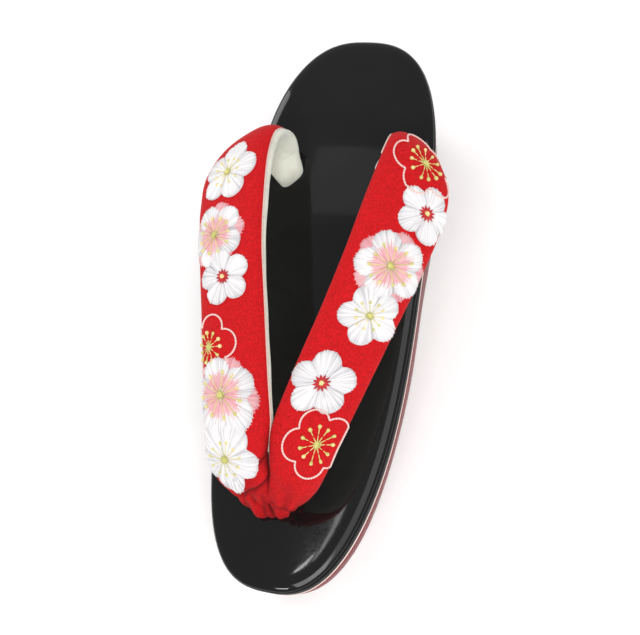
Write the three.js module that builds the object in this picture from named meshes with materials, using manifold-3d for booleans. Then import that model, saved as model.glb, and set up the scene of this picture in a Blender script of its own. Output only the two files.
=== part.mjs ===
import * as THREE from 'three';
import { mergeVertices } from 'three/addons/utils/BufferGeometryUtils.js';
import Module from 'manifold-3d';

const wasm = await Module();
wasm.setup();

// A platform zori sandal: millimetres, +Z up, toe towards -Y, heel towards +Y, standing on the floor.
// The sole is a red wedge body with a pale trim line and an enamelled deck on top.
// The upper is a padded strap of two arms, joined at the front and held there by a gathered toe loop.

// Sole outline, seen from above
const LENGTH = 240;
const BALL_WIDTH = 80;
const HEEL_WIDTH = 78.6;
const TOE_ROUND = 0.54 * LENGTH;
const HEEL_ROUND = 0.362 * LENGTH;
const TOE_FULLNESS = 2.64;
const HEEL_FULLNESS = 2.61;

// Heights and thicknesses of the sole
const BALL_HEIGHT = 35.5;
const HEEL_HEIGHT = 59.5;
const TOE_LIFT = 2.5;
const DECK_THICKNESS = 10.4;
const DECK_CROWN = 0.8;
const DECK_EDGE_ROUND = 6.6;
const TRIM_HEIGHT = 1.6;
const TRIM_DEPTH = 3;
const TRIM_INSET = 0.3;
const BODY_INSET = 0.7;
const BODY_TAPER = 3.6;
const BODY_EDGE = 0.8;
const OUTSOLE_THICKNESS = 2.6;
const OUTSOLE_INSET = 5.4;
const OUTSOLE_EDGE = 0.5;
const HEEL_PIECE_THICKNESS = 5;
const HEEL_PIECE_LENGTH = 76;
const TOE_SPRING = 5;
const ARCH_RISE = 2.6;

// Strap and sockets
const FRONT_SOCKET_FROM_TOE = 37;
const REAR_SOCKET_FROM_HEEL = 70;
const REAR_SOCKET_FROM_AXIS = 22.5;
const SOCKET_DEPTH = 7.5;
const NECK_WIDTH = 9;
const NECK_THICKNESS = 5;
const STRAP_RISE = 42;
const STRAP_SPREAD = 50;
const STRAP_THICKNESS = 9;
const STRAP_END_WIDTH = 18;
const STRAP_END_TURN = 45;
const OUTER_ARM_FLARE = 4.8;

// Toe loop
const LOOP_WIDTH = 21;
const LOOP_LENGTH = 15;
const LOOP_HEIGHT = 23;
const LOOP_LEAN = 6;
const LOOP_OFFSET = 4;
const LOOP_GATHERS = 7;
const GATHER_DEPTH = 0.7;

// Clearance between pieces that touch
const GAP = 0.3;

// Facets
const TOE_STEPS = 19;
const SIDE_STEPS = 6;
const HEEL_STEPS = 17;
const SECTION_STEPS = 16;
const ARM_STEPS = 34;
const LOOP_STEPS = 28;

const HALF_LENGTH = LENGTH / 2;
const FRONT_SOCKET_Y = FRONT_SOCKET_FROM_TOE - HALF_LENGTH;
const REAR_SOCKET_Y = HALF_LENGTH - REAR_SOCKET_FROM_HEEL;
const HALF_STEPS = TOE_STEPS + SIDE_STEPS + HEEL_STEPS;

// Rim of the deck: share of the thickness, and share of DECK_EDGE_ROUND that it lies inside the outline
const DECK_RIM = [
  { height: 0, inset: 0.11 },
  { height: 0.08, inset: 0.04 },
  { height: 0.4, inset: 0 },
  { height: 0.7, inset: 0 },
  { height: 0.84, inset: 0.09 },
  { height: 0.93, inset: 0.26 },
  { height: 0.98, inset: 0.55 },
  { height: 1, inset: 1 },
];

// Rings of the deck's top inside the rim: how far in towards the middle, and share of the crown
const DECK_TOP = [
  { inward: 0.25, crown: 0.35 },
  { inward: 0.6, crown: 0.75 },
];
const TOP_SHRINK = 0.3;

// Where the underside leaves the floor: share of the length from the toe tip
const UNDERSIDE = { springEnd: 0.17, archStart: 0.4, archEnd: 0.68 };

// Where the deck's top climbs from the ball to the heel, and where the toe starts to lift
const TOP_LINE = { climbStart: 0.2, climbEnd: 0.9, liftEnd: 0.2 };

// One arm of the strap, front to rear, as its two edges.
// out is a share of STRAP_SPREAD from the axis, along a share of the way from front to rear socket,
// rise a share of STRAP_RISE above the deck, thick a share of STRAP_THICKNESS, and flare a share of
// OUTER_ARM_FLARE, by which the outer arm alone lies wider where it nears the toe loop.
const ARM_ROWS = [
  {
    inner: { out: -0.02, along: -0.026, rise: 0.185 },
    outer: { out: 0.116, along: -0.021, rise: 0.178 },
    thick: 0.8,
    flare: 0.4,
  },
  {
    inner: { out: -0.024, along: -0.023, rise: 0.34 },
    outer: { out: 0.22, along: -0.015, rise: 0.312 },
    thick: 1,
    flare: 0.65,
  },
  {
    inner: { out: -0.024, along: 0, rise: 0.521 },
    outer: { out: 0.34, along: 0.004, rise: 0.485 },
    thick: 1.05,
    flare: 0.65,
  },
  {
    inner: { out: -0.016, along: 0.053, rise: 0.714 },
    outer: { out: 0.434, along: 0.049, rise: 0.666 },
    thick: 1.06,
    flare: 0.5,
  },
  {
    inner: { out: 0.006, along: 0.128, rise: 0.867 },
    outer: { out: 0.512, along: 0.113, rise: 0.809 },
    thick: 1.05,
    flare: 0.12,
  },
  {
    inner: { out: 0.116, along: 0.301, rise: 0.967 },
    outer: { out: 0.64, along: 0.274, rise: 0.822 },
    thick: 1.02,
    flare: 0,
  },
  {
    inner: { out: 0.23, along: 0.474, rise: 0.953 },
    outer: { out: 0.764, along: 0.436, rise: 0.784 },
    thick: 1,
    flare: 0,
  },
  {
    inner: { out: 0.332, along: 0.647, rise: 0.915 },
    outer: { out: 0.884, along: 0.602, rise: 0.683 },
    thick: 1,
    flare: 0,
  },
  {
    inner: { out: 0.406, along: 0.82, rise: 0.822 },
    outer: { out: 0.984, along: 0.767, rise: 0.583 },
    thick: 1,
    flare: 0,
  },
  {
    inner: { out: 0.456, along: 0.955, rise: 0.702 },
    outer: { out: 1, along: 0.88, rise: 0.509 },
    thick: 1,
    flare: 0,
  },
  {
    inner: { out: 0.472, along: 1.045, rise: 0.546 },
    outer: { out: 0.906, along: 0.962, rise: 0.412 },
    thick: 1,
    flare: 0,
  },
  {
    inner: { out: 0.45, along: 1.086, rise: 0.336 },
    outer: { out: 0.76, along: 1.023, rise: 0.26 },
    thick: 1,
    flare: 0,
  },
  {
    inner: { out: 0.386, along: 1.071, rise: 0.117 },
    outer: { out: 0.64, along: 0.992, rise: 0.121 },
    thick: 0.97,
    flare: 0,
  },
];

// Sides of the strap's section: share of the thickness above and below the seam, and fullness of each curve
const SECTION = { above: 0.6, below: 0.4, topPower: 2.3, lowerPower: 3 };

// The toe loop from the deck upwards: share of its height, of its plan size, and of its lean to the heel
const LOOP_ROWS = [
  { height: -0.1, size: 0.84, lean: 0 },
  { height: 0.07, size: 0.95, lean: 0.02 },
  { height: 0.22, size: 1, lean: 0.1 },
  { height: 0.38, size: 0.96, lean: 0.26 },
  { height: 0.55, size: 0.82, lean: 0.48 },
  { height: 0.72, size: 0.62, lean: 0.7 },
  { height: 0.88, size: 0.4, lean: 0.88 },
  { height: 1, size: 0.16, lean: 1 },
];

const smooth = (t) => {
  const c = THREE.MathUtils.clamp(t, 0, 1);
  return c * c * (3 - 2 * c);
};
const mix = THREE.MathUtils.lerp;
const shareOf = (y) => (y + HALF_LENGTH) / LENGTH;

// Heights of the sole's faces above the floor, along its length
function deckTop(y) {
  const s = shareOf(y);
  const climb = smooth((s - TOP_LINE.climbStart) / (TOP_LINE.climbEnd - TOP_LINE.climbStart));
  const lift = Math.max(0, 1 - s / TOP_LINE.liftEnd);
  return mix(BALL_HEIGHT, HEEL_HEIGHT, climb) + TOE_LIFT * lift * lift;
}

function underside(y) {
  const s = shareOf(y);
  const spring = Math.max(0, 1 - s / UNDERSIDE.springEnd);
  const archLength = UNDERSIDE.archEnd - UNDERSIDE.archStart;
  const t = THREE.MathUtils.clamp((s - UNDERSIDE.archStart) / archLength, 0, 1);
  const arch = ARCH_RISE * Math.sin(Math.PI * t) ** 2;
  return TOE_SPRING * spring * spring + arch + (HEEL_PIECE_THICKNESS + GAP) * smooth(t);
}

const deckBase = (y) => deckTop(y) - DECK_THICKNESS;
const trimTop = (y) => deckBase(y) - GAP;
const trimBase = (y) => trimTop(y) - TRIM_HEIGHT;
const bodyShoulder = (y) => trimBase(y) - GAP;
const bodyTop = (y) => deckBase(y) - GAP;
const outsoleTop = (y) => underside(y) + OUTSOLE_THICKNESS;
const bodyBase = (y) => outsoleTop(y) + GAP;

// Half of the outline, toe tip to heel tip: round ends of their own fullness and a straight side
function halfOutline() {
  const points = [];
  const add = (y, share) => {
    const half = mix(BALL_WIDTH, HEEL_WIDTH, smooth(shareOf(y))) / 2;
    points.push(new THREE.Vector2(half * share, y));
  };
  for (let i = 0; i <= TOE_STEPS; i++) {
    const a = (Math.PI / 2) * (i / TOE_STEPS);
    const back = TOE_ROUND * (1 - Math.cos(a) ** (2 / TOE_FULLNESS));
    add(back - HALF_LENGTH, Math.sin(a) ** (2 / TOE_FULLNESS));
  }
  for (let i = 1; i < SIDE_STEPS; i++) {
    add(mix(TOE_ROUND - HALF_LENGTH, HALF_LENGTH - HEEL_ROUND, i / SIDE_STEPS), 1);
  }
  for (let i = HEEL_STEPS; i >= 0; i--) {
    const a = (Math.PI / 2) * (i / HEEL_STEPS);
    const ahead = HEEL_ROUND * (1 - Math.cos(a) ** (2 / HEEL_FULLNESS));
    add(HALF_LENGTH - ahead, Math.sin(a) ** (2 / HEEL_FULLNESS));
  }
  return points;
}

// The whole outline moved in by inset, toe tip first, then up the +X side and back down the -X side
function outline(inset) {
  const half = halfOutline();
  const side = half.map((p, i) => {
    if (i === 0) return new THREE.Vector2(0, p.y + inset);
    if (i === HALF_STEPS) return new THREE.Vector2(0, p.y - inset);
    const along = half[i + 1].clone().sub(half[i - 1]).normalize();
    return new THREE.Vector2(Math.max(p.x - along.y * inset, 0.05 * i / HALF_STEPS), p.y + along.x * inset);
  });
  const mirrored = side.slice(1, -1).reverse().map((p) => new THREE.Vector2(-p.x, p.y));
  return side.concat(mirrored);
}

// A closed geometry from its vertices and triangles
function geometryOf(vertices, triangles) {
  const geometry = new THREE.BufferGeometry();
  const numbers = vertices.flatMap((v) => [v.x, v.y, v.z]);
  geometry.setAttribute('position', new THREE.Float32BufferAttribute(numbers, 3));
  geometry.setIndex(triangles.flat());
  return geometry;
}

// A layer of the sole: rings of the outline from the bottom up, with both faces closed along a spine
function soleLayer(rings, bottomHeight, topHeight) {
  const count = 2 * HALF_STEPS;
  const vertices = [];
  const triangles = [];
  const levels = rings.map((ring) => {
    const start = vertices.length;
    const inward = ring.inward ?? 0;
    outline(ring.inset).forEach((p) => {
      const y = p.y * (1 - TOP_SHRINK * inward);
      vertices.push(new THREE.Vector3(p.x * (1 - inward), y, ring.height(y)));
    });
    return start;
  });
  for (let k = 0; k + 1 < levels.length; k++) {
    for (let i = 0; i < count; i++) {
      const j = (i + 1) % count;
      triangles.push([levels[k] + i, levels[k] + j, levels[k + 1] + j]);
      triangles.push([levels[k] + i, levels[k + 1] + j, levels[k + 1] + i]);
    }
  }
  const close = (level, height, up) => {
    const spine = vertices.length;
    const place = (i) => (i === 0 || i === HALF_STEPS ? level + i : spine + i - 1);
    for (let i = 1; i < HALF_STEPS; i++) {
      const y = vertices[level + i].y;
      vertices.push(new THREE.Vector3(0, y, height(y)));
    }
    const face = (a, b, c) => {
      if (new Set([a, b, c]).size === 3) triangles.push(up ? [a, b, c] : [a, c, b]);
    };
    for (let i = 0; i < HALF_STEPS; i++) {
      const right = level + i;
      const nextRight = level + i + 1;
      const left = level + ((count - i) % count);
      const nextLeft = level + count - i - 1;
      face(right, nextRight, place(i + 1));
      face(right, place(i + 1), place(i));
      face(place(i), place(i + 1), nextLeft);
      face(place(i), nextLeft, left);
    }
  };
  close(levels[0], bottomHeight, false);
  close(levels[levels.length - 1], topHeight, true);
  return geometryOf(vertices, triangles);
}

// Solids and booleans
function toSolid(geometry) {
  const bare = geometry.clone();
  bare.deleteAttribute('normal');
  bare.deleteAttribute('uv');
  const merged = mergeVertices(bare, 1e-4);
  const mesh = new wasm.Mesh({
    numProp: 3,
    vertProperties: new Float32Array(merged.attributes.position.array),
    triVerts: new Uint32Array(merged.index.array),
  });
  return new wasm.Manifold(mesh);
}

function toGeometry(solid) {
  const mesh = solid.getMesh();
  const geometry = new THREE.BufferGeometry();
  geometry.setAttribute('position', new THREE.BufferAttribute(new Float32Array(mesh.vertProperties), 3));
  geometry.setIndex(new THREE.BufferAttribute(new Uint32Array(mesh.triVerts), 1));
  geometry.computeVertexNormals();
  return geometry;
}

// Enamelled deck, without its sockets, moved up by lift
function deckBlank(lift) {
  const rings = DECK_RIM.map((row) => ({
    inset: DECK_EDGE_ROUND * row.inset,
    height: (y) => deckBase(y) + DECK_THICKNESS * row.height + lift,
  }));
  DECK_TOP.forEach((row) => rings.push({
    inset: DECK_EDGE_ROUND,
    inward: row.inward,
    height: (y) => deckTop(y) + DECK_CROWN * row.crown + lift,
  }));
  return soleLayer(rings, (y) => deckBase(y) + lift, (y) => deckTop(y) + DECK_CROWN + lift);
}

// An upright oval column, used for the strap's necks and, grown by the clearance, for their sockets
function ovalColumn(place, width, thickness, turn, bottom, top) {
  const column = new THREE.CylinderGeometry(0.5, 0.5, top - bottom, 20, 1);
  column.rotateX(Math.PI / 2);
  column.scale(width, thickness, 1);
  column.rotateZ(turn);
  column.translate(place.x, place.y, (top + bottom) / 2);
  return column;
}

const SOCKETS = [
  { x: 0, y: FRONT_SOCKET_Y, turn: 0 },
  { x: REAR_SOCKET_FROM_AXIS, y: REAR_SOCKET_Y, turn: -THREE.MathUtils.degToRad(STRAP_END_TURN) },
  { x: -REAR_SOCKET_FROM_AXIS, y: REAR_SOCKET_Y, turn: THREE.MathUtils.degToRad(STRAP_END_TURN) },
];

function neck(socket) {
  const surface = deckTop(socket.y);
  const geometry = ovalColumn(
    socket, NECK_WIDTH, NECK_THICKNESS, socket.turn, surface - SOCKET_DEPTH, surface + NECK_THICKNESS,
  );
  return toSolid(geometry);
}

function socketCut(socket) {
  const surface = deckTop(socket.y);
  const geometry = ovalColumn(
    socket,
    NECK_WIDTH + 2 * GAP,
    NECK_THICKNESS + 2 * GAP,
    socket.turn,
    surface - SOCKET_DEPTH - GAP,
    surface + DECK_THICKNESS,
  );
  return toSolid(geometry);
}

// The points that one arm's edges pass through, with the rear end set on its socket
function armEdges(flare) {
  const place = (edge, widen) => {
    const y = mix(FRONT_SOCKET_Y, REAR_SOCKET_Y, edge.along);
    return new THREE.Vector3(STRAP_SPREAD * edge.out + widen, y, deckTop(y) + STRAP_RISE * edge.rise);
  };
  const rows = ARM_ROWS.map((row) => ({
    inner: place(row.inner, 0),
    outer: place(row.outer, flare * row.flare),
    thick: STRAP_THICKNESS * row.thick,
  }));
  const turn = THREE.MathUtils.degToRad(STRAP_END_TURN);
  const reach = new THREE.Vector3(Math.cos(turn), -Math.sin(turn), 0).multiplyScalar(STRAP_END_WIDTH / 2);
  const seat = new THREE.Vector3(REAR_SOCKET_FROM_AXIS, REAR_SOCKET_Y, deckTop(REAR_SOCKET_Y));
  const endLevels = [STRAP_THICKNESS / 3, -STRAP_THICKNESS / 2];
  endLevels.forEach((level) => {
    const centre = seat.clone().add(new THREE.Vector3(0, 0, level));
    const inner = centre.clone().sub(reach);
    const outer = centre.clone().add(reach);
    rows.push({ inner, outer, thick: STRAP_THICKNESS });
  });
  return rows;
}

// One padded arm, flared at the front and grown by grow all round and at both ends
function armGeometry(flare, grow) {
  const rows = armEdges(flare);
  const inner = new THREE.CatmullRomCurve3(rows.map((r) => r.inner));
  const outer = new THREE.CatmullRomCurve3(rows.map((r) => r.outer));
  const thickAt = (t) => {
    const f = t * (rows.length - 1);
    const k = Math.min(Math.floor(f), rows.length - 2);
    return mix(rows[k].thick, rows[k + 1].thick, f - k);
  };
  const centreAt = (t) => inner.getPoint(t).add(outer.getPoint(t)).multiplyScalar(0.5);
  const vertices = [];
  const triangles = [];
  const step = 1 / ARM_STEPS;
  for (let i = 0; i <= ARM_STEPS; i++) {
    const t = i * step;
    const across = outer.getPoint(t).sub(inner.getPoint(t));
    const half = across.length() / 2 + grow;
    across.normalize();
    const along = centreAt(Math.min(t + step / 2, 1)).sub(centreAt(Math.max(t - step / 2, 0))).normalize();
    const up = new THREE.Vector3().crossVectors(across, along).normalize();
    const beyond = i === 0 ? -grow : i === ARM_STEPS ? grow : 0;
    const centre = centreAt(t).addScaledVector(along, beyond);
    for (let k = 0; k < SECTION_STEPS; k++) {
      const a = (2 * Math.PI * k) / SECTION_STEPS;
      const c = Math.cos(a);
      const s = Math.sin(a);
      const power = s >= 0 ? SECTION.topPower : SECTION.lowerPower;
      const deep = s >= 0 ? SECTION.above : SECTION.below;
      const x = Math.sign(c) * Math.abs(c) ** (2 / power) * half;
      const z = Math.sign(s) * Math.abs(s) ** (2 / power) * (thickAt(t) * deep + grow);
      vertices.push(centre.clone().addScaledVector(across, x).addScaledVector(up, z));
    }
  }
  for (let i = 0; i < ARM_STEPS; i++) {
    for (let k = 0; k < SECTION_STEPS; k++) {
      const a = i * SECTION_STEPS + k;
      const b = i * SECTION_STEPS + ((k + 1) % SECTION_STEPS);
      triangles.push([a, b + SECTION_STEPS, b]);
      triangles.push([a, a + SECTION_STEPS, b + SECTION_STEPS]);
    }
  }
  const last = ARM_STEPS * SECTION_STEPS;
  for (let k = 1; k + 1 < SECTION_STEPS; k++) {
    triangles.push([0, k, k + 1]);
    triangles.push([last, last + k + 1, last + k]);
  }
  return geometryOf(vertices, triangles);
}

// The same geometry on the other side of the axis, with its faces turned back outwards
function mirrored(geometry) {
  const copy = geometry.clone();
  copy.scale(-1, 1, 1);
  const index = copy.index.array;
  for (let i = 0; i < index.length; i += 3) {
    const first = index[i];
    index[i] = index[i + 1];
    index[i + 1] = first;
  }
  return copy;
}

function bothArms(grow) {
  const innerArm = toSolid(armGeometry(0, grow));
  const outerArm = toSolid(mirrored(armGeometry(OUTER_ARM_FLARE, grow)));
  return innerArm.add(outerArm);
}

// The toe loop's outer form: a low bag, gathered all round, that sits a little to the outer side
function loopBlank() {
  const vertices = [];
  const triangles = [];
  LOOP_ROWS.forEach((row) => {
    for (let k = 0; k < LOOP_STEPS; k++) {
      const a = (2 * Math.PI * k) / LOOP_STEPS;
      const gather = GATHER_DEPTH * Math.cos(LOOP_GATHERS * a);
      const x = (LOOP_WIDTH / 2 * row.size + gather) * Math.cos(a);
      const y = (LOOP_LENGTH / 2 * row.size + gather) * Math.sin(a);
      const base = FRONT_SOCKET_Y - LOOP_LEAN / 2 + LOOP_LEAN * row.lean;
      const z = deckTop(FRONT_SOCKET_Y) + LOOP_HEIGHT * row.height;
      vertices.push(new THREE.Vector3(x - LOOP_OFFSET, base + y, z));
    }
  });
  const rows = LOOP_ROWS.length;
  for (let i = 0; i + 1 < rows; i++) {
    for (let k = 0; k < LOOP_STEPS; k++) {
      const a = i * LOOP_STEPS + k;
      const b = i * LOOP_STEPS + ((k + 1) % LOOP_STEPS);
      triangles.push([a, b, b + LOOP_STEPS]);
      triangles.push([a, b + LOOP_STEPS, a + LOOP_STEPS]);
    }
  }
  const last = (rows - 1) * LOOP_STEPS;
  for (let k = 1; k + 1 < LOOP_STEPS; k++) {
    triangles.push([0, k + 1, k]);
    triangles.push([last, last + k, last + k + 1]);
  }
  return geometryOf(vertices, triangles);
}

// Each piece of the sandal
function deckGeometry() {
  const cut = SOCKETS.reduce((solid, socket) => solid.subtract(socketCut(socket)), toSolid(deckBlank(0)));
  return toGeometry(cut);
}

function trimGeometry() {
  const band = (inset, low, high) => toSolid(soleLayer([
    { inset: inset + TRIM_HEIGHT * 0.25, height: low },
    { inset, height: (y) => mix(low(y), high(y), 0.3) },
    { inset, height: (y) => mix(low(y), high(y), 0.7) },
    { inset: inset + TRIM_HEIGHT * 0.25, height: high },
  ], low, high));
  const hole = toSolid(soleLayer([
    { inset: TRIM_INSET + TRIM_DEPTH, height: (y) => trimBase(y) - TRIM_HEIGHT },
    { inset: TRIM_INSET + TRIM_DEPTH, height: (y) => trimTop(y) + TRIM_HEIGHT },
  ], (y) => trimBase(y) - TRIM_HEIGHT, (y) => trimTop(y) + TRIM_HEIGHT));
  return toGeometry(band(TRIM_INSET, trimBase, trimTop).subtract(hole));
}

function bodyGeometry() {
  const plateau = TRIM_INSET + TRIM_DEPTH + GAP;
  return soleLayer([
    { inset: BODY_INSET + BODY_TAPER, height: bodyBase },
    { inset: BODY_INSET + BODY_TAPER * 0.75, height: (y) => bodyBase(y) + BODY_EDGE },
    { inset: BODY_INSET + BODY_TAPER * 0.35, height: (y) => mix(bodyBase(y), bodyShoulder(y), 0.4) },
    { inset: BODY_INSET, height: (y) => bodyShoulder(y) - BODY_EDGE },
    { inset: BODY_INSET + BODY_EDGE * 0.75, height: bodyShoulder },
    { inset: plateau, height: bodyShoulder },
    { inset: plateau, height: bodyTop },
  ], bodyBase, bodyTop);
}

function outsoleGeometry() {
  return soleLayer([
    { inset: OUTSOLE_INSET + OUTSOLE_EDGE, height: underside },
    { inset: OUTSOLE_INSET, height: (y) => underside(y) + OUTSOLE_EDGE },
    { inset: OUTSOLE_INSET, height: outsoleTop },
  ], underside, outsoleTop);
}

function heelPieceGeometry() {
  const full = toSolid(soleLayer([
    { inset: OUTSOLE_INSET + OUTSOLE_EDGE, height: () => 0 },
    { inset: OUTSOLE_INSET, height: () => OUTSOLE_EDGE },
    { inset: OUTSOLE_INSET, height: () => HEEL_PIECE_THICKNESS },
  ], () => 0, () => HEEL_PIECE_THICKNESS));
  const keep = new THREE.BoxGeometry(2 * BALL_WIDTH, HEEL_PIECE_LENGTH, 4 * HEEL_PIECE_THICKNESS);
  keep.translate(0, HALF_LENGTH - HEEL_PIECE_LENGTH / 2, 0);
  return toGeometry(full.intersect(toSolid(keep)));
}

function strapGeometry() {
  const seated = bothArms(0).subtract(toSolid(deckBlank(GAP)));
  return toGeometry(seated.add(neck(SOCKETS[1])).add(neck(SOCKETS[2])));
}

function loopGeometry() {
  const seated = toSolid(loopBlank()).subtract(toSolid(deckBlank(GAP)));
  return toGeometry(seated.add(neck(SOCKETS[0])).subtract(bothArms(GAP)));
}

// Colours and finishes
const ENAMEL_BLACK = { color: 0x0b0b0d, roughness: 0.08, metalness: 0 };
const PALE_TRIM = { color: 0xf2dcd2, roughness: 0.5, metalness: 0 };
const BODY_RED = { color: 0x9c2a2e, roughness: 0.35, metalness: 0 };
const SOLE_TAN = { color: 0x8a7560, roughness: 0.8, metalness: 0 };
const HEEL_DARK = { color: 0x2a2524, roughness: 0.7, metalness: 0 };
const CREPE_RED = { color: 0xc91218, roughness: 0.85, metalness: 0 };

const sandal = new THREE.Group();

function addPiece(name, geometry, finish) {
  const mesh = new THREE.Mesh(geometry, new THREE.MeshStandardMaterial(finish));
  mesh.name = name;
  sandal.add(mesh);
}

addPiece('outsole', outsoleGeometry(), SOLE_TAN);
addPiece('heel_piece', heelPieceGeometry(), HEEL_DARK);
addPiece('platform_body', bodyGeometry(), BODY_RED);
addPiece('edge_trim', trimGeometry(), PALE_TRIM);
addPiece('deck', deckGeometry(), ENAMEL_BLACK);
addPiece('hanao_strap', strapGeometry(), CREPE_RED);
addPiece('toe_loop', loopGeometry(), CREPE_RED);

export default sandal;
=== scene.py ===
import math
import random

import bpy
import numpy as np
from mathutils import Matrix, Vector


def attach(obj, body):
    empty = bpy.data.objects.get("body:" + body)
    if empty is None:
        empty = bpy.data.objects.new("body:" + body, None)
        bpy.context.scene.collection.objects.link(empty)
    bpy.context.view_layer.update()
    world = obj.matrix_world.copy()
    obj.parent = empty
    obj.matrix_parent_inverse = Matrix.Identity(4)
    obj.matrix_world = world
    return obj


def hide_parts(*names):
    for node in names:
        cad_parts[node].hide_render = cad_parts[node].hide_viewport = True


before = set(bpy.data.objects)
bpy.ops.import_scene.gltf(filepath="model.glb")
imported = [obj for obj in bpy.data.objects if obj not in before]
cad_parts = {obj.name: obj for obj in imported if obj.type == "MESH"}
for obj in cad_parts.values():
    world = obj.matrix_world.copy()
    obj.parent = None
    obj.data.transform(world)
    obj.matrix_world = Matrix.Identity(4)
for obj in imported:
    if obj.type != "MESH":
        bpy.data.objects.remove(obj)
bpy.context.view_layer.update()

# A platform zori sandal. Lengths are in millimetres until a mesh is made, toe towards -Y, heel towards +Y.
MM = 0.001

# Outline and heights of the sole
LENGTH = 240.0
HALF_LENGTH = LENGTH / 2
BALL_WIDTH = 80.0
HEEL_WIDTH = 78.6
TOE_ROUND = 0.54 * LENGTH
HEEL_ROUND = 0.362 * LENGTH
TOE_FULLNESS = 2.64
HEEL_FULLNESS = 2.61
BALL_HEIGHT = 35.5
HEEL_HEIGHT = 59.5
TOE_LIFT = 2.5
CLIMB_START = 0.2
CLIMB_END = 0.9
LIFT_END = 0.2
DECK_THICKNESS = 10.4
DECK_CROWN = 0.8
DECK_EDGE_ROUND = 6.6
TRIM_HEIGHT = 1.6
TRIM_INSET = 0.3
TRIM_DEPTH = 3.0
BODY_INSET = 0.7
BODY_TAPER = 3.6
BODY_EDGE = 0.8
OUTSOLE_THICKNESS = 2.6
OUTSOLE_INSET = 5.4
OUTSOLE_EDGE = 0.5
HEEL_PIECE_THICKNESS = 5.0
TOE_SPRING = 5.0
ARCH_RISE = 2.6
SPRING_END = 0.17
ARCH_START = 0.4
ARCH_END = 0.68
GAP = 0.3

# Strap and toe loop
FRONT_SOCKET_Y = 37.0 - HALF_LENGTH
REAR_SOCKET_Y = HALF_LENGTH - 70.0
REAR_SOCKET_X = 22.5
STRAP_RISE = 42.0
STRAP_SPREAD = 50.0
STRAP_THICKNESS = 9.0
STRAP_END_WIDTH = 18.0
STRAP_END_TURN = math.radians(45)
OUTER_ARM_FLARE = 4.8
COVER_SHARE = 0.6
LINING_SHARE = 0.4
COVER_FULLNESS = 2.3
LINING_FULLNESS = 3.0
LOOP_WIDTH = 21.0
LOOP_LENGTH = 15.0
LOOP_HEIGHT = 23.0
LOOP_LEAN = 6.0
LOOP_OFFSET = 4.0
LOOP_SPREAD = 0.24

# One arm, front to rear: inner edge (out, along, rise), outer edge (out, along, rise), thickness, flare
ARM_ROWS = [
    ((-0.02, -0.026, 0.185), (0.116, -0.021, 0.178), 0.8, 0.4),
    ((-0.024, -0.023, 0.34), (0.22, -0.015, 0.312), 1.0, 0.65),
    ((-0.024, 0.0, 0.521), (0.34, 0.004, 0.485), 1.05, 0.65),
    ((-0.016, 0.053, 0.714), (0.434, 0.049, 0.666), 1.06, 0.5),
    ((0.006, 0.128, 0.867), (0.512, 0.113, 0.809), 1.05, 0.12),
    ((0.116, 0.301, 0.967), (0.64, 0.274, 0.822), 1.02, 0.0),
    ((0.23, 0.474, 0.953), (0.764, 0.436, 0.784), 1.0, 0.0),
    ((0.332, 0.647, 0.915), (0.884, 0.602, 0.683), 1.0, 0.0),
    ((0.406, 0.82, 0.822), (0.984, 0.767, 0.583), 1.0, 0.0),
    ((0.456, 0.955, 0.702), (1.0, 0.88, 0.509), 1.0, 0.0),
    ((0.472, 1.045, 0.546), (0.906, 0.962, 0.412), 1.0, 0.0),
    ((0.45, 1.086, 0.336), (0.76, 1.023, 0.26), 1.0, 0.0),
    ((0.386, 1.071, 0.117), (0.64, 0.992, 0.121), 0.97, 0.0),
]

# Camera: place, the point it looks at, and how it is rolled
CAMERA_AT = Vector((100.565, -138.117, 380.0)) * MM
CAMERA_AIM = Vector((1.33, -10.12, 45.0)) * MM
CAMERA_UP = Vector((-0.10694, 0.91781, 0.38235))
CAMERA_LENS = 50.714
FLOOR_GLOW = 0.14
# Faces of the deck steeper than this are its outer wall, finished dull as painted shade so that it reflects
# almost none of the bright floor
RIM_PAINTED_SHADE_BELOW = 0.45


def mix(a, b, share):
    return a + (b - a) * share


def smooth(t):
    t = np.clip(t, 0, 1)
    return t * t * (3 - 2 * t)


def unit(vectors):
    return vectors / np.linalg.norm(vectors, axis=-1, keepdims=True)


def run_along(points):
    """Length along a line of points, from its start."""
    return np.concatenate([[0], np.cumsum(np.linalg.norm(np.diff(points, axis=0), axis=1))])


def carried_on(points):
    """The points with one more beyond each end, for a curve that passes through them all."""
    points = np.array(points, float)
    return np.concatenate([[2 * points[0] - points[1]], points, [2 * points[-1] - points[-2]]])


def share_of(y):
    return (y + HALF_LENGTH) / LENGTH


def deck_top(y):
    s = share_of(y)
    climb = smooth((s - CLIMB_START) / (CLIMB_END - CLIMB_START))
    lift = np.maximum(0, 1 - s / LIFT_END)
    return mix(BALL_HEIGHT, HEEL_HEIGHT, climb) + TOE_LIFT * lift * lift


def underside(y):
    s = share_of(y)
    spring = np.maximum(0, 1 - s / SPRING_END)
    t = np.clip((s - ARCH_START) / (ARCH_END - ARCH_START), 0, 1)
    arch = ARCH_RISE * np.sin(np.pi * t) ** 2
    return TOE_SPRING * spring * spring + arch + (HEEL_PIECE_THICKNESS + GAP) * smooth(t)


def deck_base(y):
    return deck_top(y) - DECK_THICKNESS


def trim_middle(y):
    return deck_base(y) - GAP - TRIM_HEIGHT / 2


def body_shoulder(y):
    return deck_base(y) - 2 * GAP - TRIM_HEIGHT


def body_base(y):
    return underside(y) + OUTSOLE_THICKNESS + GAP


def placed(name, data):
    """A new object of the scene, at the origin."""
    made = bpy.data.objects.new(name, data)
    bpy.context.scene.collection.objects.link(made)
    return made


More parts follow.
